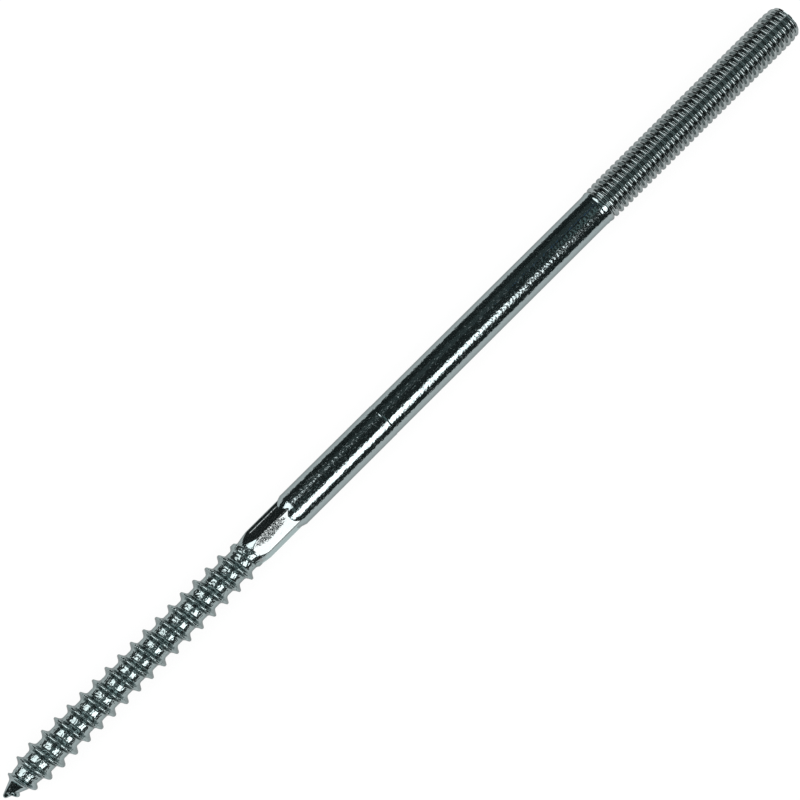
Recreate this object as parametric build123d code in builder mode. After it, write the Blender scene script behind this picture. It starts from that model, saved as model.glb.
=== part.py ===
"""Hanger bolt, M6 x 160: a gimlet point and wood thread, a pressed hexagon drive, a plain shank, a machine thread.

It is one rolled steel rod. It lies on its side along X, its point towards -X, on its thread's crests at Z = 0.
Sizes are in millimetres, and places along the rod are measured from the tip of the point.
"""

import os
from math import ceil, cos, pi, radians, sin, tan

from build123d import *

# Places along the rod
overall_length = 160.0
neck_start = 47.0  # where the core begins to swell towards the drive
die_line = 75.0  # where the dies that rolled the wood thread ended, a faint step in the shank
machine_thread_length = 40.5

# Gimlet point: a ball nose, a steep cone, and a shallow cone that leads into the core
nose_radius = 0.38
point_angle = 23.0  # from the axis to the steep cone
blend_angle = 7.0  # from the axis to the shallow cone
point_length = 6.4

# Wood thread, right-handed
core_diameter = 4.2
wood_thread_diameter = 5.9
wood_pitch = 2.45
flank_angle = 32.0  # from a plane across the rod to each side of the ridge
crest_width = 0.16
point_ridge_height = 0.56  # of the ridge on the steep cone
ridge_start = 0.45
ridge_full = 6.8  # where the crest reaches the thread's diameter
ridge_end = 48.9
rise_turns = 0.45  # over which the ridge rises out of the nose
sink_turns = 1.5  # over which it sinks into the neck
crest_place = 28.4  # where a crest passes the rod's -Y side
ridge_foot = 0.2  # depth of the ridge's foot inside the rod
sections_per_turn = 12

# Drive and shank
drive_across_flats = 4.6
drive_length = 5.2  # from the neck to the shoulder
drive_turn = 15.0  # from +Z to the middle of the uppermost flat
neck_angle = 11.0
shoulder_angle = 18.5
shank_diameter = 5.5
rolled_shank_diameter = 5.56  # between the drive and the die line
die_step_length = 0.12

# Machine thread, M6, at its major diameter
machine_thread_diameter = 6.0
thread_shoulder_angle = 35.0
lead_length = 2.0  # the last turns, which taper
lead_diameter = 5.3
end_chamfer = 0.2

core_radius = core_diameter / 2
wood_thread_radius = wood_thread_diameter / 2
shank_radius = shank_diameter / 2
rolled_shank_radius = rolled_shank_diameter / 2
machine_thread_radius = machine_thread_diameter / 2
lead_radius = lead_diameter / 2
flat_distance = drive_across_flats / 2
corner_distance = flat_distance / cos(radians(30))

steep = tan(radians(point_angle))
shallow = tan(radians(blend_angle))
cone_start = nose_radius * (1 - sin(radians(point_angle)))
cone_start_radius = nose_radius * cos(radians(point_angle))

tip = Vector(-overall_length / 2, 0, machine_thread_radius)
rod_axis = Axis(tip, (1, 0, 0))
lengthwise = Plane(origin=tip, x_dir=(1, 0, 0), z_dir=(0, -1, 0))


def across(place):
    """The plane across the rod at this place, its X towards +Y and its Y towards +Z."""
    return Plane(origin=tip + Vector(place, 0, 0), x_dir=(0, 1, 0), z_dir=(1, 0, 0))


def cones_meet(raised, full_place, full_radius):
    """Where the steep cone, raised by this much, meets the shallow one that reaches full_radius at full_place."""
    gap = full_radius - shallow * full_place - (cone_start_radius + raised - steep * cone_start)
    return gap / (steep - shallow)


def point_radius(place, raised, full_place, full_radius):
    """Radius of the point's outline, which serves the core and, raised by the ridge's height, the crest."""
    if place >= full_place:
        return full_radius
    if place >= cones_meet(raised, full_place, full_radius):
        return full_radius - shallow * (full_place - place)
    return cone_start_radius + raised + steep * (place - cone_start)


def rod_radius(place):
    """Radius of the point, the core and the neck under the wood thread."""
    swelling = tan(radians(neck_angle)) * max(0, place - neck_start)
    return point_radius(place, 0, point_length, core_radius) + swelling


def eased(share):
    """A share from 0 to 1, flat at both ends."""
    share = min(max(share, 0), 1)
    return share * share * (3 - 2 * share)


def ridge_height(place):
    """Height of the crest above the rod. At the ridge's two ends the crest is just inside the rod."""
    crest = point_radius(place, point_ridge_height, ridge_full, wood_thread_radius)
    risen = eased((place - ridge_start) / (rise_turns * wood_pitch))
    left = eased((ridge_end - place) / (sink_turns * wood_pitch))
    return risen * left * (crest - rod_radius(place)) - (1 - risen * left) * ridge_foot / 4


# Ends of the neck, the flats and the shoulder, and the start of the machine thread
neck_end = neck_start + (corner_distance - core_radius) / tan(radians(neck_angle))
flats_end = neck_end + drive_length
shoulder_end = flats_end + (rolled_shank_radius - flat_distance) / tan(radians(shoulder_angle))
machine_thread_start = overall_length - machine_thread_length
thread_shoulder_length = (machine_thread_radius - shank_radius) / tan(radians(thread_shoulder_angle))
cut_margin = 0.1  # the drive's blank stands this far outside the corners, so that the flats cut it clean

with BuildPart() as hanger_bolt:
    # The rod as turned from one outline, before its flats and its ridge
    with BuildSketch(lengthwise):
        with BuildLine():
            nose = CenterArc((nose_radius, 0), nose_radius, 180, point_angle - 90)
            steep_end = cones_meet(0, point_length, core_radius)
            Polyline(
                nose @ 1,
                (steep_end, rod_radius(steep_end)),
                (point_length, core_radius),
                (neck_start, core_radius),
                (neck_end + cut_margin, rod_radius(neck_end + cut_margin)),
                (neck_end + cut_margin, rolled_shank_radius),
                (die_line - die_step_length, rolled_shank_radius),
                (die_line, shank_radius),
                (machine_thread_start, shank_radius),
                (machine_thread_start + thread_shoulder_length, machine_thread_radius),
                (overall_length - lead_length, machine_thread_radius),
                (overall_length - end_chamfer, lead_radius),
                (overall_length, lead_radius - end_chamfer),
                (overall_length, 0),
                (0, 0),
            )
        make_face()
    revolve(axis=rod_axis)

    # The drive: six pressed flats, and the cone that leads up from them to the shank
    with BuildSketch(across(neck_start)):
        Circle(machine_thread_diameter)
        RegularPolygon(flat_distance, 6, major_radius=False, rotation=drive_turn, mode=Mode.SUBTRACT)
    extrude(amount=shoulder_end - neck_start, mode=Mode.SUBTRACT)
    with BuildSketch(lengthwise):
        with BuildLine():
            Polyline(
                (flats_end, 0),
                (flats_end, flat_distance),
                (shoulder_end, rolled_shank_radius),
                (shoulder_end, 0),
                close=True,
            )
        make_face()
    revolve(axis=rod_axis)

    # The wood thread: one ridge wound from the nose to the neck, lofted in stretches of about a turn each
    stretches = ceil((ridge_end - ridge_start) / wood_pitch)
    for stretch in range(stretches):
        for section in range(sections_per_turn + 1):
            wound = (stretch + section / sections_per_turn) / stretches
            place = ridge_start + wound * (ridge_end - ridge_start)
            turned = pi + 2 * pi * (place - crest_place) / wood_pitch
            height = ridge_height(place)
            crest_side = crest_width / 2
            foot_side = crest_side + (height + ridge_foot) * tan(radians(flank_angle))
            facing = (0, -sin(turned), cos(turned))
            with BuildSketch(Plane(origin=tip + Vector(place, 0, 0), x_dir=(1, 0, 0), z_dir=facing)):
                with BuildLine():
                    Polyline(
                        (-foot_side, rod_radius(place - foot_side) - ridge_foot),
                        (-crest_side, rod_radius(place) + height),
                        (crest_side, rod_radius(place) + height),
                        (foot_side, rod_radius(place + foot_side) - ridge_foot),
                        close=True,
                    )
                make_face()
        loft()

hanger_bolt.part.label = "hanger_bolt"
os.makedirs("parts", exist_ok=True)
export_step(hanger_bolt.part, "parts/hanger_bolt.step")
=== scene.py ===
# %% [markdown]
# # A hanger bolt in bright zinc
# A hanger bolt is a headless screw with two ends. Its gimlet point and coarse thread go into wood, and its
# fine machine thread takes a nut or a fitting. It is rolled from one steel rod and plated with zinc.
# The frame is the CAD model of it, at its true size and place. The rod lies on the ground along X, with its
# point towards -X.

from math import atan2, ceil, cos, hypot, pi, radians, sin, tan

import bmesh
import bpy
from mathutils import Matrix, Vector


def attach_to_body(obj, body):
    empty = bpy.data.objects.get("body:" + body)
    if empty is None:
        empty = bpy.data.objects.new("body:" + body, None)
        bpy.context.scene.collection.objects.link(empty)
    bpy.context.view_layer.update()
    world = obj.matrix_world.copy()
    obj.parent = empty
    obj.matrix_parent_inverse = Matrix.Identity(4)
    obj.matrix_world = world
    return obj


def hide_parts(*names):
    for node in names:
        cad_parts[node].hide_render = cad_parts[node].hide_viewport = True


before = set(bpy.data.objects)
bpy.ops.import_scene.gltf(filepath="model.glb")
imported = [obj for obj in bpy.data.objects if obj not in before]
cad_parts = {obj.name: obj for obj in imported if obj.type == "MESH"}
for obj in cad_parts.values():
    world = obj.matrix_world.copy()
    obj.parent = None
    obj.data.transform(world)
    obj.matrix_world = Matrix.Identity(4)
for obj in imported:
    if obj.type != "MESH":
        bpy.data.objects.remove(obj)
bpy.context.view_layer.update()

# %% [markdown]
# ## Sizes
# A maker's drawing of a bolt gives places along the rod and diameters, so every size here is one of those,
# in millimetres from the tip of the point. The mesh is drawn in the same way, along X with its axis at the
# origin, and is scaled to metres and lifted onto the ground at the end.

# %% Sizes along the rod
overall_length = 160.0
point_length = 6.4
neck_start = 47.0
drive_length = 5.2
die_line = 75.0
machine_thread_start = 118.5
print("places from the tip, mm:", point_length, neck_start, die_line, machine_thread_start, overall_length)

# %% Radii and angles
core_radius = 2.1
flat_distance = 2.3
rolled_shank_radius = 2.78
shank_radius = 2.75
machine_crest_radius = 2.99
nose_radius = 0.38
point_angle = radians(23)
steep = tan(point_angle)
shallow = tan(radians(7))
neck_slope = tan(radians(11))
shoulder_slope = tan(radians(18.5))
print("rod diameters, mm:", 2 * core_radius, 2 * shank_radius, 2 * machine_crest_radius)

# %% [markdown]
# ## The rod
# The blank under the threads is round all along, so it is one line spun about the axis. A long smooth face
# next to a bend takes part of the bend's shading along its whole length, so each long run gets a holding
# point close to both of its ends. That keeps every bend as narrow as it is on the steel.

# %% Radius of the blank
cone_start = nose_radius * (1 - sin(point_angle))
cone_start_radius = nose_radius * cos(point_angle)


def point_radius(place, raised, full_place, full_radius):
    """A steep cone, raised by the height of the ridge on it, then a shallow cone, then a cylinder."""
    on_steep = cone_start_radius + raised + steep * (place - cone_start)
    on_shallow = full_radius - shallow * max(0, full_place - place)
    return min(on_steep, on_shallow, full_radius)


def blank_radius(place):
    """Radius of the point, the core and the neck under the wood thread."""
    return point_radius(place, 0, point_length, core_radius) + neck_slope * max(0, place - neck_start)


print("blank's radius at the end of its nose, mm:", round(blank_radius(cone_start), 3))

# %% Places of the drive
corner_distance = flat_distance / cos(radians(30))
neck_end = neck_start + (corner_distance - core_radius) / neck_slope
flats_end = neck_end + drive_length
shoulder_end = flats_end + (rolled_shank_radius - flat_distance) / shoulder_slope
print("drive from", round(neck_end, 2), "to", round(flats_end, 2), "shoulder to", round(shoulder_end, 2))

# %% Line of the point and the core
nose_arc = radians(67)
nose_steps = 8
nose_angles = [step * nose_arc / nose_steps for step in range(nose_steps + 1)]
nose = [(nose_radius - nose_radius * cos(a), nose_radius * sin(a)) for a in nose_angles]
gap = core_radius - shallow * point_length - cone_start_radius + steep * cone_start
steep_end = gap / (steep - shallow)
bends = [
    nose[-1],
    (steep_end, blank_radius(steep_end)),
    (point_length, core_radius),
    (neck_start, core_radius),
]
print("steep cone ends at", round(steep_end, 2), "mm")

# %% Line of the drive and the shank
first_row = 50
row_count = 6
row_radius = 2.5
drive_rows = [(first_row + number, row_radius) for number in range(row_count)]
burr_height = 0.02
shank = [
    (shoulder_end, rolled_shank_radius),
    (die_line - 0.45, rolled_shank_radius),
    (die_line - 0.34, rolled_shank_radius + burr_height),
    (die_line - 0.2, shank_radius),
    (machine_thread_start, shank_radius),
]
hold = 0.12


def held(points):
    """The same line, with a holding point near both ends of each long run."""
    line = points[:1]
    for (a, ra), (b, rb) in zip(points, points[1:]):
        if b - a > 3 * hold:
            line.append((a + hold, ra + (rb - ra) * hold / (b - a)))
            line.append((b - hold, rb - (rb - ra) * hold / (b - a)))
        line.append((b, rb))
    return line


line = nose[:-1] + held(bends) + drive_rows + held(shank)
print("points on the line:", len(line))

# %% Spin the blank
around = 72
weld = 1e-4


def chain(bm, points, closed=False):
    """A chain of edges over the axis, from (place, radius) pairs."""
    verts = [bm.verts.new((place, 0, radius)) for place, radius in points]
    pairs = list(zip(verts, verts[1:])) + ([(verts[-1], verts[0])] if closed else [])
    return verts + [bm.edges.new(pair) for pair in pairs]


rod = bmesh.new()
outline = chain(rod, line)
bmesh.ops.spin(
    rod, geom=outline, cent=(0, 0, 0), axis=(1, 0, 0), angle=2 * pi, steps=around, use_merge=True
)
bmesh.ops.remove_doubles(rod, verts=rod.verts, dist=weld)
print("blank:", len(rod.faces), "faces")

# %% [markdown]
# ## The pressed drive
# The hexagon that a spanner holds is pressed into the rod between a neck and a shoulder, both cones. Each
# flat therefore ends in an arch, where it runs out of a cone. Six rows of the blank were left for it: they
# move to where the cones and the flats meet, which gives the arches exactly and keeps every flat truly
# flat. Rolled and plated steel has no knife edges, so a bevel softens the six corners. One flat also
# carries a score, a low ridge with two sloping sides. It is a shape and not a painted line, so it shines
# only when light meets it.

# %% Press the flats
flat_angle = radians(105)


def press(vert):
    """Moves a vertex of the drive's rows onto the flats, or onto the neck or the shoulder beside them."""
    angle = atan2(vert.co.z, vert.co.y)
    off = (angle - flat_angle + pi / 6) % (pi / 3) - pi / 6
    flat = flat_distance / cos(off)
    near = neck_start + (flat - core_radius) / neck_slope
    far = flats_end + (flat - flat_distance) / shoulder_slope
    row = round(vert.co.x) - first_row
    place = (near - hold, near, near + hold, far - hold, far, far + hold)[row]
    radius = {0: flat - hold * neck_slope, 5: flat + hold * shoulder_slope}.get(row, flat)
    vert.co = (place, radius * cos(angle), radius * sin(angle))


pressed = [v for v in rod.verts if first_row - 0.5 < v.co.x < first_row + row_count - 0.5]
for vert in pressed:
    press(vert)
rod.normal_update()
print("vertices pressed:", len(pressed))

# %% Raise a score along one flat
score_section = [(-0.12, -0.02), (0, 0.04), (0.12, -0.02)]
from_flat_middle = 0.54
score_lead = 0.1
score_turn = radians(-45)


def only_verts(parts):
    """The vertices among the parts that an operator gives back."""
    return [part for part in parts if isinstance(part, bmesh.types.BMVert)]


score = bmesh.new()
corners = [(neck_end - score_lead, from_flat_middle + u, flat_distance + v) for u, v in score_section]
score_face = score.faces.new([score.verts.new(corner) for corner in corners])
swept = bmesh.ops.extrude_face_region(score, geom=[score_face])["geom"]
bmesh.ops.translate(score, verts=only_verts(swept), vec=(flats_end - neck_end + score_lead, 0, 0))
bmesh.ops.rotate(score, verts=score.verts, cent=(0, 0, 0), matrix=Matrix.Rotation(score_turn, 3, "X"))
bmesh.ops.recalc_face_normals(score, faces=score.faces)
print("score:", len(score.faces), "faces")

# %% Soften the six corners
sharp = radians(50)
corners_from, corners_to = 48, 56.2
softness = 0.12
creases = [e for e in rod.edges if e.calc_face_angle(0) > sharp]
creases = [e for e in creases if corners_from < e.verts[0].co.x < corners_to]
softened = bmesh.ops.bevel(
    rod,
    geom=creases,
    affect="EDGES",
    offset=softness,
    segments=3,
    profile=0.5,
    material=-1,
    clamp_overlap=True,
)
print("corners softened:", len(creases), "edges,", len(softened["faces"]), "new faces")

# %% [markdown]
# ## The wood thread
# The wood thread is one ridge, wound round the core from the nose to the neck. Its section is drawn once:
# steep flanks, a narrow rounded crest and hollow feet that run out flat on the core, as rolling dies leave
# them. A spin with a step along the axis winds it. Then each section is fitted to the steel. At the point
# it is shrunk all over, as it rises out of the nose and climbs the cones. At the neck the dies only press
# less deep, so there it keeps its width and is cut off flat on top as it sinks.

# %% Section of the ridge
wood_pitch = 2.45
wood_crest_radius = 2.95
full_height = wood_crest_radius - core_radius
side = [
    (1.0, -0.22),
    (0.98, -0.02),
    (0.86, 0.004),
    (0.75, 0.022),
    (0.65, 0.06),
    (0.56, 0.125),
    (0.46, 0.24),
    (0.34, 0.43),
    (0.23, 0.64),
    (0.165, 0.765),
    (0.1, 0.83),
]
section = [(-u, v) for u, v in side] + [(0, full_height)] + side[::-1]
print("ridge:", round(full_height, 2), "mm high, pitch", wood_pitch, "mm,", len(section), "points")

# %% Height of the ridge
ridge_start = 0.45
ridge_end = 48.9
height_on_steep = 0.56
full_height_place = 6.8
rise_turns = 0.45
fade_turns = 1.5
sunk = 0.05


def eased(share):
    """A share from 0 to 1, flat at both ends."""
    share = min(max(share, 0), 1)
    return share * share * (3 - 2 * share)


def ridge_height(place):
    """Height of the crest over the blank; at the two ends it is just inside the steel."""
    crest_radius = point_radius(place, height_on_steep, full_height_place, wood_crest_radius)
    risen = eased((place - ridge_start) / (rise_turns * wood_pitch))
    share = risen * eased((ridge_end - place) / (fade_turns * wood_pitch))
    return share * (crest_radius - blank_radius(place)) - sunk * (1 - share)


print("ridge's height at 2, 20 and 47 mm:", [round(ridge_height(place), 2) for place in (2, 20, 47)])

# %% Wind the ridge
crest_at_minus_y = 28.4


def crest_angle(place):
    """Where the crest is round the rod, from +Y towards +Z."""
    return pi + 2 * pi * (place - crest_at_minus_y) / wood_pitch


def wind(bm, loop, pitch, turns):
    """Winds a chain of edges round the axis: one turn is spun, and welded copies make the others."""
    step = (pitch / around, 0, 0)
    bmesh.ops.spin(bm, geom=loop, cent=(0, 0, 0), axis=(1, 0, 0), dvec=step, angle=2 * pi, steps=around)
    turn = bm.verts[:] + bm.edges[:] + bm.faces[:]
    for number in range(1, turns):
        copy = bmesh.ops.duplicate(bm, geom=turn)["geom"]
        bmesh.ops.translate(bm, verts=only_verts(copy), vec=(pitch * number, 0, 0))
    bmesh.ops.remove_doubles(bm, verts=bm.verts, dist=weld)


ridge = bmesh.new()
ridge_turns = ceil((ridge_end - ridge_start) / wood_pitch)
loop = chain(ridge, [(ridge_start + u, core_radius + v) for u, v in section], closed=True)
turned = Matrix.Rotation(crest_angle(ridge_start) - pi / 2, 3, "X")
bmesh.ops.rotate(ridge, verts=ridge.verts, cent=(0, 0, 0), matrix=turned)
wind(ridge, loop, wood_pitch, ridge_turns)
print("ridge:", ridge_turns, "turns,", len(ridge.faces), "faces")

# %% Fit the ridge to the point and the neck
mid_thread = 30
tip_gap = 0.02
buried = -0.1
least_radius = 0.01
slack = 0.02


def from_crest(vert):
    """How far along the rod a vertex is from the crest of its own section."""
    angle = atan2(vert.co.z, vert.co.y)
    behind = vert.co.x - crest_at_minus_y - wood_pitch * (angle - pi) / (2 * pi)
    return (behind + wood_pitch / 2) % wood_pitch - wood_pitch / 2


def fit_ridge(vert):
    """Sets a vertex on the blank: its section is shrunk before mid-thread, and cut off flat after it."""
    angle = atan2(vert.co.z, vert.co.y)
    u = from_crest(vert)
    v = hypot(vert.co.y, vert.co.z) - core_radius
    height = ridge_height(vert.co.x - u)
    size = 1 if vert.co.x > mid_thread else max(height, 0) / full_height
    place = max(vert.co.x - u + u * size, tip_gap)
    rise = v if v < buried else v * size + min(height, 0)
    radius = max(blank_radius(place) + rise, least_radius)
    if place > mid_thread:
        radius = min(radius, blank_radius(place - u) + height)
    vert.co = (place, radius * cos(angle), radius * sin(angle))


past_the_end = [vert for vert in ridge.verts if vert.co.x - from_crest(vert) > ridge_end + slack]
bmesh.ops.delete(ridge, geom=past_the_end, context="VERTS")
for vert in ridge.verts:
    fit_ridge(vert)
bmesh.ops.remove_doubles(ridge, verts=ridge.verts, dist=weld)
bmesh.ops.recalc_face_normals(ridge, faces=ridge.faces)
print("ridge, widest radius:", round(max(hypot(v.co.y, v.co.z) for v in ridge.verts), 3))

# %% [markdown]
# ## The machine thread
# The machine thread fills its whole pitch, so one pitch of its outline is wound into a single skin whose
# turns meet edge to edge. It starts before the thread and ends after it. What lies outside is drawn in to a
# plain ring, which welds to the shank at one end and closes the flat end at the other. The first turn rises
# out of the shank, and the last two lean inwards, so that a nut starts easily.

# %% One pitch of the thread
thread_pitch = 1.0
thread_depth = 0.6
half = [
    (0.5, 0.6),
    (0.45, 0.588),
    (0.4, 0.545),
    (0.35, 0.455),
    (0.3, 0.34),
    (0.25, 0.215),
    (0.2, 0.105),
    (0.15, 0.036),
    (0.1, 0.01),
    (0.05, 0.001),
]
one_pitch = [(-u, -d) for u, d in half] + [(0, 0)] + [(u, -d) for u, d in half[::-1]]
print("machine thread: pitch", thread_pitch, "mm, depth", thread_depth, "mm")

# %% Lines of the crests and the roots
root_radius = 2.39
end_radius = 2.5
crests = [
    (machine_thread_start, shank_radius),
    (machine_thread_start + 0.9, 2.87),
    (machine_thread_start + 2.9, machine_crest_radius),
    (overall_length - 2.0, machine_crest_radius),
    (overall_length - 1.0, 2.89),
    (overall_length - 0.3, 2.76),
    (overall_length, end_radius),
]
roots = [
    (machine_thread_start, shank_radius),
    (machine_thread_start + 0.9, 2.8),
    (machine_thread_start + 2.4, root_radius),
    (overall_length - 0.3, root_radius),
    (overall_length, end_radius),
]


def on_line(points, place):
    """Height of a line of (place, radius) points at this place."""
    for (a, ra), (b, rb) in zip(points, points[1:]):
        if place < b:
            return ra + (rb - ra) * max(place - a, 0) / (b - a)
    return points[-1][1]


print("crest and root at 140 mm:", round(on_line(crests, 140), 2), round(on_line(roots, 140), 2))

# %% Wind the thread
run_in = 1.03
run_out = 1.5
skin_weld = 1e-3
skin = bmesh.new()
first_crest = machine_thread_start - run_in
thread_turns = ceil(overall_length + run_out - first_crest)
loop = chain(skin, [(first_crest + u, machine_crest_radius + v) for u, v in one_pitch])
wind(skin, loop, thread_pitch, thread_turns)


def fit_thread(vert):
    """Draws a vertex in between the lines of the roots and of the crests."""
    angle = atan2(vert.co.z, vert.co.y)
    depth = machine_crest_radius - hypot(vert.co.y, vert.co.z)
    place = min(max(vert.co.x, machine_thread_start), overall_length)
    top, bottom = on_line(crests, place), on_line(roots, place)
    radius = top - (top - bottom) * depth / thread_depth
    vert.co = (place, radius * cos(angle), radius * sin(angle))


for vert in skin.verts:
    fit_thread(vert)
bmesh.ops.remove_doubles(skin, verts=skin.verts, dist=skin_weld)
rim = [e for e in skin.edges if e.is_boundary and e.verts[0].co.x > overall_length - 0.01]
bmesh.ops.holes_fill(skin, edges=rim, sides=0)
print("machine thread:", thread_turns, "turns wound,", len(skin.faces), "faces, rim of", len(rim), "edges")

# %% [markdown]
# ## One piece
# The bolt is one piece of steel, so the blank, the machine thread, the ridge and the score become one mesh.
# The machine thread's ring welds to the shank's, while the ridge and the score have their feet inside the
# steel. Faces are smooth wherever the steel bends gently, and edges that bend by 35 degrees or more stay
# crisp.


# %% Join the meshes
def add(target, source):
    """Copies one bmesh into another."""
    carrier = bpy.data.meshes.new("carrier")
    source.to_mesh(carrier)
    source.free()
    target.from_mesh(carrier)
    bpy.data.meshes.remove(carrier)


add(rod, skin)
bmesh.ops.remove_doubles(rod, verts=rod.verts, dist=skin_weld)
open_edges = [e for e in rod.edges if e.is_boundary]
add(rod, ridge)
add(rod, score)
bmesh.ops.recalc_face_normals(rod, faces=rod.faces)
print("open edges on the rod:", len(open_edges), "faces in all:", len(rod.faces))

# %% Mark the crisp edges and set the bolt on the ground
crisp = radians(35)
axis_height = 3.0
to_metres = 0.001
for face in rod.faces:
    face.smooth = True
for edge in rod.edges:
    edge.smooth = edge.calc_face_angle(0) < crisp
bmesh.ops.translate(rod, verts=rod.verts, vec=(-overall_length / 2, 0, axis_height))
bmesh.ops.scale(rod, verts=rod.verts, vec=(to_metres, to_metres, to_metres))
mesh = bpy.data.meshes.new("hanger_bolt_steel")
rod.to_mesh(mesh)
rod.free()
bolt = bpy.data.objects.new("hanger_bolt_steel", mesh)
bpy.context.scene.collection.objects.link(bolt)
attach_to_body(bolt, "root")
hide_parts("hanger_bolt")
print("triangles:", sum(len(p.vertices) - 2 for p in mesh.polygons))

# %% [markdown]
# ## Bright zinc
# Zinc plate on rolled steel is a mirror that isn't quite flat. The steel under it is drawn along its length
# and slightly dimpled, and the plating adds a fine grain and specks of haze. A mirror shows these as broken
# edges on each highlight, so they are made as heights that bend the reflection, with only a small change of
# colour and gloss. The shank, the two threads and the pressed flats were each worked by a different tool.
# They share one node group, and each has its own sizes for it. Their tints are zinc's own teal grey,
# darkened as painted shade for the shaded floor beside the rod that the metal reflects; the threads'
# grooves and the lit front flat get a little more painted shade.

# %% Sockets of the plating
plating = bpy.data.node_groups.new("plating", "ShaderNodeTree")
for name, value in (("Dimple", 3300.0), ("Grain", 9000.0), ("Draw", 0.05)):
    plating.interface.new_socket(name, in_out="INPUT", socket_type="NodeSocketFloat").default_value = value
for name in ("Height", "Cloud", "Specks"):
    plating.interface.new_socket(name, in_out="OUTPUT", socket_type="NodeSocketFloat")
print("plating group:", len(plating.interface.items_tree), "sockets")


# %% Start the group
def attach(tree, socket, value):
    """Links a socket to this one, or sets this one's value."""
    if isinstance(value, bpy.types.NodeSocket):
        tree.links.new(value, socket)
    else:
        socket.default_value = value


def node(tree, kind, **inputs):
    """A new node with its inputs set by name; a socket given as a value is linked."""
    made = tree.nodes.new(kind)
    for name, value in inputs.items():
        attach(tree, made.inputs[name.replace("_", " ")], value)
    return made


def maths(tree, operation, a, b):
    """The result of one sum on two values or sockets."""
    made = tree.nodes.new("ShaderNodeMath")
    made.operation = operation
    attach(tree, made.inputs[0], a)
    attach(tree, made.inputs[1], b)
    return made.outputs[0]


given = node(plating, "NodeGroupInput")
coords = node(plating, "ShaderNodeTexCoord").outputs["Object"]
print("sizes given to the group:", [socket.name for socket in given.outputs if socket.name])


# %% Fill the group
def noise(scale, detail, stretch=None):
    """A noise in the group, on the bolt's own coordinates or on stretched ones."""
    vector = coords
    if stretch:
        vector = node(plating, "ShaderNodeMapping", Vector=coords, Scale=stretch).outputs[0]
    return node(plating, "ShaderNodeTexNoise", Vector=vector, Scale=scale, Detail=detail).outputs[0]


grain_share = 0.02
dimples = noise(given.outputs["Dimple"], 0.6, stretch=(0.8, 1.0, 1.0))
grain = noise(given.outputs["Grain"], 1.0)
drawn = noise(9000.0, 1.0, stretch=(0.02, 1.0, 1.0))
cloud = noise(260.0, 3.0)
specks = noise(5200.0, 1.0, stretch=(0.4, 1.0, 1.0))
fine = maths(plating, "MULTIPLY", grain, grain_share)
streaks = maths(plating, "MULTIPLY", drawn, given.outputs["Draw"])
height = maths(plating, "ADD", maths(plating, "ADD", dimples, fine), streaks)
spots = node(plating, "ShaderNodeMapRange", Value=specks, From_Min=0.56, From_Max=0.74)
node(plating, "NodeGroupOutput", Height=height, Cloud=cloud, Specks=spots.outputs[0])
print("plating group:", len(plating.nodes), "nodes")


# %% Material of the zinc
def zinc(name, dimple, draw, depth, shine, hazy, metal, dull, bright, edge=(0.5, 0.5, 0.5)):
    """Bright zinc over steel: dull and bright are its two tints, and edge tints it seen at a slant."""
    material = bpy.data.materials.new(name)
    material.use_nodes = True
    tree = material.node_tree
    shader = tree.nodes["Principled BSDF"]
    surface = tree.nodes.new("ShaderNodeGroup")
    surface.name = "surface"
    surface.node_tree = plating
    surface.inputs["Dimple"].default_value = dimple
    surface.inputs["Draw"].default_value = draw
    tint = tree.nodes.new("ShaderNodeMix")
    tint.data_type = "RGBA"
    tint.inputs["A"].default_value = (*dull, 1)
    tint.inputs["B"].default_value = (*bright, 1)
    tree.links.new(surface.outputs["Cloud"], tint.inputs["Factor"])
    tree.links.new(tint.outputs["Result"], shader.inputs["Base Color"])
    low, high = shine
    gloss = node(tree, "ShaderNodeMapRange", Value=surface.outputs["Cloud"], To_Min=low, To_Max=high)
    haze = maths(tree, "MULTIPLY", surface.outputs["Specks"], hazy)
    tree.links.new(maths(tree, "ADD", gloss.outputs[0], haze), shader.inputs["Roughness"])
    bump = node(tree, "ShaderNodeBump", Height=surface.outputs["Height"], Strength=1.0, Distance=depth)
    bump.name = "bump"
    tree.links.new(bump.outputs[0], shader.inputs["Normal"])
    shader.inputs["Metallic"].default_value = metal
    shader.inputs["Specular Tint"].default_value = (*edge, 1)
    return material


# The tints are zinc's own teal grey, darkened as painted shade for the shaded floor beside the rod, which
# the metal reflects.
shank_zinc = zinc(
    "zinc_on_drawn_steel",
    dimple=3300.0,
    draw=0.05,
    depth=21e-6,
    shine=(0.08, 0.13),
    hazy=0.22,
    metal=1.0,
    dull=(0.30, 0.36, 0.365),
    bright=(0.34, 0.40, 0.405),
)
print("nodes in the shank's material:", len(shank_zinc.node_tree.nodes))

# %% Zinc on the threads and the flats
# The threads' tints are a little darker than the shank's, as painted shade of their grooves and of the
# shaded floor they reflect.
wood_zinc = zinc(
    "zinc_on_wood_thread",
    dimple=3500.0,
    draw=0.0,
    depth=70e-6,
    shine=(0.1, 0.16),
    hazy=0.1,
    metal=0.98,
    dull=(0.27, 0.33, 0.33),
    bright=(0.33, 0.39, 0.39),
)
machine_zinc = zinc(
    "zinc_on_machine_thread",
    dimple=2800.0,
    draw=0.0,
    depth=10e-6,
    shine=(0.04, 0.07),
    hazy=0.05,
    metal=0.98,
    dull=(0.29, 0.33, 0.33),
    bright=(0.35, 0.39, 0.39),
)
# The flats' tints are darker than the threads', as painted shade that keeps the lamp's highlight on the
# front flat below white.
flat_zinc = zinc(
    "zinc_on_pressed_flats",
    dimple=3300.0,
    draw=0.05,
    depth=12e-6,
    shine=(0.1, 0.15),
    hazy=0.1,
    metal=1.0,
    dull=(0.245, 0.265, 0.265),
    bright=(0.305, 0.325, 0.325),
    edge=(0.85, 1, 1),
)
zincs = (shank_zinc, wood_zinc, machine_zinc, flat_zinc)
print("materials:", [material.name for material in zincs])

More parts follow.
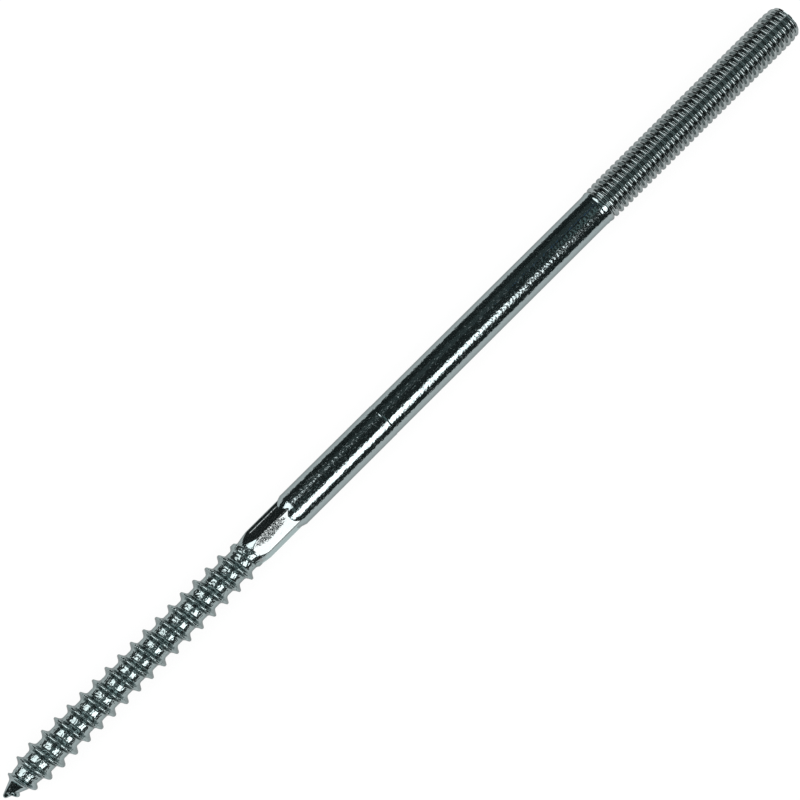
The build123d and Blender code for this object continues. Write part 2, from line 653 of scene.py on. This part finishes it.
# %% [markdown]
# ## Grit on one flat
# The uppermost flat has a long rough patch, such as a press leaves. It is far too shallow to change the
# outline, so it is made as height in the material: noise inside a stretched ball that is set on the flat.
# Half is taken off the noise first, so that the patch has pits and bumps but doesn't swell as a whole.

# %% Bite the grit into the plating
patch_middle = (-0.0281, 0.00006, 0.0054)
patch_half_size = (0.0034, 0.00078, 0.0006)
patch_turn = radians(15)
patch_edge = 0.5
grit_depth = 18.0
tree = flat_zinc.node_tree
own = tree.nodes.new("ShaderNodeTexCoord").outputs["Object"]
patch = node(tree, "ShaderNodeMapping", Vector=own)
patch.vector_type = "TEXTURE"
patch.inputs["Location"].default_value = patch_middle
patch.inputs["Rotation"].default_value = (patch_turn, 0, 0)
patch.inputs["Scale"].default_value = patch_half_size
ball = node(tree, "ShaderNodeTexGradient", Vector=patch.outputs[0])
ball.gradient_type = "SPHERICAL"
inside = node(tree, "ShaderNodeMapRange", Value=ball.outputs["Fac"], From_Min=0.0, From_Max=patch_edge)
grit = node(tree, "ShaderNodeTexNoise", Vector=own, Scale=3600.0, Detail=1.0)
pits = maths(tree, "MULTIPLY", maths(tree, "SUBTRACT", grit.outputs[0], 0.5), grit_depth)
bitten = maths(tree, "MULTIPLY", inside.outputs[0], pits)
rough_height = maths(tree, "ADD", tree.nodes["surface"].outputs["Height"], bitten)
tree.links.new(rough_height, tree.nodes["bump"].inputs["Height"])
print("nodes in the flats' material:", len(tree.nodes))

# %% Which zinc goes where
wood_zinc_start = 4.2
wood_zinc_end = neck_start + 1
machine_zinc_start = machine_thread_start + 0.9
level = 0.02
for material in zincs:
    mesh.materials.append(material)


def surface_at(polygon):
    """Number of the zinc on a face: 0 shank and tip, 1 wood thread, 2 machine thread, 3 a pressed flat."""
    x = polygon.center.x * 1000 + overall_length / 2
    if x < wood_zinc_start:
        return 0
    if x < wood_zinc_end:
        return 1
    if x > machine_zinc_start:
        return 2
    return 3 if neck_start < x < shoulder_end and abs(polygon.normal.x) < level else 0


for polygon in mesh.polygons:
    polygon.material_index = surface_at(polygon)
counts = [sum(p.material_index == number for p in mesh.polygons) for number in range(len(zincs))]
print("faces of shank, wood thread, machine thread and flats:", counts)

# %% [markdown]
# ## Floor, cards and light
# The bolt lies on a pale floor. A mirror-bright rod only shows its shape if there is something dark to
# reflect, so a black tent stands over it, like the black cards of a studio, and a black apron lies behind
# it. The tent's two ends are grey and glow a little, because the flanks of the threads face them. Soft
# boxes stand in the tent, and each draws one bright band along the rod. The cards are out of the camera's
# sight, so other views stay clear.


# %% Plain materials
def plain(name, colour):
    """A matt material of one colour."""
    material = bpy.data.materials.new(name)
    material.use_nodes = True
    shader = material.node_tree.nodes["Principled BSDF"]
    shader.inputs["Base Color"].default_value = (*colour, 1)
    shader.inputs["Roughness"].default_value = 0.9
    shader.inputs["Specular IOR Level"].default_value = 0.0
    return material


paper = plain("white_paper", (0.9, 0.9, 0.9))
black_card = plain("black_card", (0.024, 0.030, 0.030))
grey_card = plain("grey_card", (0.2, 0.26, 0.26))
glow = grey_card.node_tree.nodes["Principled BSDF"]
glow.inputs["Emission Color"].default_value = (0.75, 1.0, 1.0, 1)
glow.inputs["Emission Strength"].default_value = 0.3
print("stage materials:", paper.name, black_card.name, grey_card.name)


# %% Floor
def staged(name, bm, material):
    """A stage object from a bmesh."""
    data = bpy.data.meshes.new(name)
    bm.to_mesh(data)
    bm.free()
    data.materials.append(material)
    made = bpy.data.objects.new(name, data)
    bpy.context.scene.collection.objects.link(made)
    return made


floor_half = 3.0
floor_gap = 0.00002
ground = bmesh.new()
bmesh.ops.create_grid(ground, x_segments=1, y_segments=1, size=floor_half)
bmesh.ops.translate(ground, verts=ground.verts, vec=(0, 0, -floor_gap))
floor = staged("floor", ground, paper)
print("stage:", floor.name, "of", 2 * floor_half, "m")


# %% White paper
def seen_directly(tree):
    """1 for the camera's rays and for those that a mirror or glass passes on, 0 for the rest."""
    rays = tree.nodes.new("ShaderNodeLightPath")
    passed_on = maths(tree, "MAXIMUM", rays.outputs["Is Glossy Ray"], rays.outputs["Is Transmission Ray"])
    return maths(tree, "MAXIMUM", rays.outputs["Is Camera Ray"], passed_on)


white_share = 0.9
tree = paper.node_tree
bright_paper = node(tree, "ShaderNodeEmission", Color=(1, 1, 1, 1), Strength=1.0)
mix = node(tree, "ShaderNodeMixShader", Fac=maths(tree, "MULTIPLY", seen_directly(tree), white_share))
tree.links.new(tree.nodes["Principled BSDF"].outputs[0], mix.inputs[1])
tree.links.new(bright_paper.outputs[0], mix.inputs[2])
tree.links.new(mix.outputs[0], tree.nodes["Material Output"].inputs["Surface"])
print("nodes in the paper:", len(tree.nodes))

# %% Black tent and grey ends
low = radians(2)
tent_end = 1.3
apron_start = 0.023
lift = 0.0005
tent = bmesh.new()
first_pole = [tent.verts.new((x, -cos(low), sin(low))) for x in (-tent_end, tent_end)]
pole = first_pole + [tent.edges.new(first_pole)]
bmesh.ops.spin(tent, geom=pole, cent=(0, 0, 0), axis=(-1, 0, 0), angle=pi - low, steps=24)
apron = [(-tent_end, apron_start, 0), (tent_end, apron_start, 0), (tent_end, 1, 0), (-tent_end, 1, 0)]
tent.faces.new([tent.verts.new(corner) for corner in apron])
bmesh.ops.translate(tent, verts=tent.verts, vec=(0, 0, lift))


def end_wall(bm, x, top):
    """An upright card across one end of the tent."""
    bm.faces.new([bm.verts.new((x, y, z)) for y, z in ((-1, 0), (1, 0), (1, top), (-1, top))])


ends = bmesh.new()
end_wall(ends, -tent_end, 0.45)
end_wall(ends, tent_end, 1)
end_wall(tent, -tent_end - 0.01, 1)
black_cards = staged("black_cards", tent, black_card)
grey_cards = staged("grey_cards", ends, grey_card)
for cards in (black_cards, grey_cards):
    cards.visible_camera = False
    cards.visible_diffuse = False
    cards.visible_shadow = False
print("cards:", black_cards.name, grey_cards.name)

# %% Soft boxes
box_distance = 0.8
white = (1, 1, 1)
teal = (0.7, 1.0, 1.0)
dusk = (0.12, 0.42, 1.0)


def soft_box(name, lean, from_x, to_x, width, radiance, colour):
    """A lamp over the bolt, leaning this far from +Z towards -Y, from one place along X to another."""
    lamp = bpy.data.lights.new(name, "AREA")
    lamp.shape = "RECTANGLE"
    lamp.color = colour
    lamp.size, lamp.size_y = to_x - from_x, width
    lamp.energy = radiance * pi * lamp.size * lamp.size_y
    made = bpy.data.objects.new(name, lamp)
    turn = Matrix.Rotation(radians(lean), 4, "X")
    made.matrix_world = turn @ Matrix.Translation(((from_x + to_x) / 2, 0, box_distance))
    bpy.context.scene.collection.objects.link(made)


# Each row: name, lean in degrees, start and end along X, width, radiance, colour
soft_boxes = [
    ("key_box", 33.3, -0.45, 0.19, 0.312, 3.6, white),
    ("key_tail", 21.4, 0.1, 0.19, 0.028, 3.6, white),
    ("key_edge", 47.8, -0.45, 0.118, 0.11, 3.6, white),
    ("left_box", -39.5, -0.8, -0.045, 0.62, 2.8, white),
    ("far_left", -28, 0.45, 0.9, 0.25, 1.6, white),
    ("score_glint", -37, -0.04, 0.02, 0.12, 3.0, white),
    ("room_glow", -42, 0.0, 1.0, 0.45, 0.04, teal),
    ("near_roof", 0, -0.3, 0.0, 0.5, 0.17, teal),
    ("far_roof", 0, 0.26, 0.6, 0.5, 0.24, teal),
    ("far_window", -27, 0.225, 0.27, 0.05, 0.3, dusk),
    ("near_window", 18, -0.78, -0.66, 0.12, 0.3, dusk),
]
for box in soft_boxes:
    soft_box(*box)
print("soft boxes:", len(soft_boxes))

# %% World
object_light = 0.9
world = bpy.data.worlds.new("studio")
bpy.context.scene.world = world
world.use_nodes = True
tree = world.node_tree
sky = tree.nodes["Background"]
tree.links.new(maths(tree, "MAXIMUM", seen_directly(tree), object_light), sky.inputs["Strength"])
sky.inputs["Color"].default_value = (1, 1, 1, 1)
print("world:", world.name, "lights the bolt at", object_light)

# %% [markdown]
# ## Camera
# The camera looks almost straight down on the bolt, from a little towards its point, and is rolled so that
# the bolt runs from the lower left corner to the upper right one. A long lens keeps the rod's sides nearly
# parallel.

# %% Place the camera
lean = radians(8.07)
roll = radians(44.79)
distance = 0.3047
target = Vector((-0.00148, 0.00039, 0.003))
lens = bpy.data.cameras.new("camera")
lens.lens = 95.4
lens.sensor_width = 36
lens.dof.use_dof = False
lens.clip_start, lens.clip_end = 0.01, 20
camera = bpy.data.objects.new("camera", lens)
bpy.context.scene.collection.objects.link(camera)
bpy.context.scene.camera = camera
back = Vector((-sin(lean), 0, cos(lean)))
rod_way = Vector((cos(lean), 0, sin(lean)))
across_way = Vector((0, 1, 0))
right = rod_way * cos(roll) - across_way * sin(roll)
up = rod_way * sin(roll) + across_way * cos(roll)
eye = target + back * distance
camera.matrix_world = Matrix.Translation(eye) @ Matrix((right, up, back)).transposed().to_4x4()
print("camera at", [round(1000 * x, 1) for x in eye], "mm")

# %% [markdown]
# ## Finish
# The picture keeps plain colours, so the view transform is Standard.

# %% Finish
bpy.context.scene.view_settings.view_transform = "Standard"
